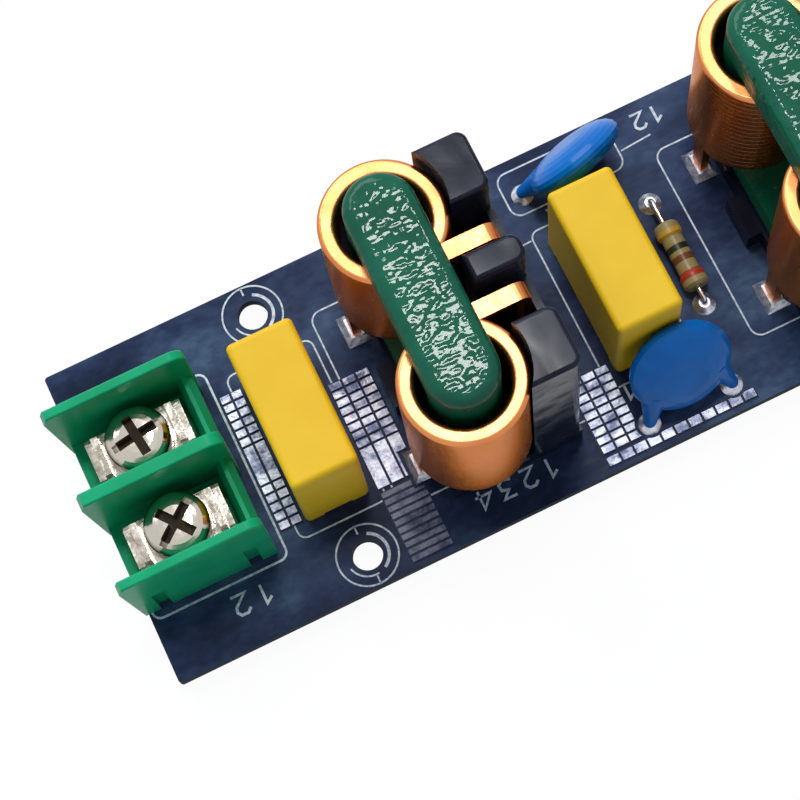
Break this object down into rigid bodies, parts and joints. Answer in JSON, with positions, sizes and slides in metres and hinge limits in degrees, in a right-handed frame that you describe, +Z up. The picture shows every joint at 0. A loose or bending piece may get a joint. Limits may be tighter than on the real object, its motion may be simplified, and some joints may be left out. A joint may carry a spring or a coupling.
{
  "type": "emi line filter",
  "caption": "Open circuit-board mains noise filter with upright wound chokes, boxed and disc capacitors, a resistor and a screw terminal block at each end.",
  "frame": {"origin": "under the middle of the board, at the height of the lead tips that it stands on", "axes": "+X runs along the board from the output terminals to the input terminals, +Y across it to the side with the upper disc capacitor, +Z up from the board's component side"},
  "size_m": [0.1288, 0.039, 0.0372],
  "materials": {
    "board_mask": "gloss",
    "terminal_plastic": "satin",
    "nickel_steel": "bright",
    "film_case_yellow": "satin",
    "film_resin": "satin",
    "tinned_wire": "bright",
    "enamelled_copper": "gloss",
    "coated_ferrite": "gloss",
    "black_plastic": "gloss",
    "disc_coating_blue": "gloss",
    "resistor_lacquer": "gloss",
    "solder_tin": "bright"
  },
  "bodies": {
    "root": {"board": "board_mask", "discharge_resistor": "resistor_lacquer", "discharge_resistor_leads": "tinned_wire", "input_choke_base": "black_plastic", "input_choke_coil_lower": "enamelled_copper", "input_choke_coil_upper": "enamelled_copper", "input_choke_core": "coated_ferrite", "input_film_capacitor_case": "film_case_yellow", "input_film_capacitor_core": "film_resin", "input_film_capacitor_leads": "tinned_wire", "input_terminal_contacts": "nickel_steel", "input_terminal_housing": "terminal_plastic", "input_terminal_screws": "nickel_steel", "input_terminal_washers": "nickel_steel", "input_wire_clamps": "nickel_steel", "lower_disc_capacitor": "disc_coating_blue", "lower_disc_capacitor_leads": "tinned_wire", "middle_film_capacitor_case": "film_case_yellow", "middle_film_capacitor_core": "film_resin", "middle_film_capacitor_leads": "tinned_wire", "output_choke_base": "black_plastic", "output_choke_coil_lower": "enamelled_copper", "output_choke_coil_upper": "enamelled_copper", "output_choke_core": "coated_ferrite", "output_film_capacitor_case": "film_case_yellow", "output_film_capacitor_core": "film_resin", "output_film_capacitor_leads": "tinned_wire", "output_terminal_contacts": "nickel_steel", "output_terminal_housing": "terminal_plastic", "output_terminal_screws": "nickel_steel", "output_terminal_washers": "nickel_steel", "output_wire_clamps": "nickel_steel", "solder_beads": "solder_tin", "solder_joints": "solder_tin", "tinned_patches": "solder_tin", "upper_disc_capacitor": "disc_coating_blue", "upper_disc_capacitor_leads": "tinned_wire"}
  },
  "joints": []
}
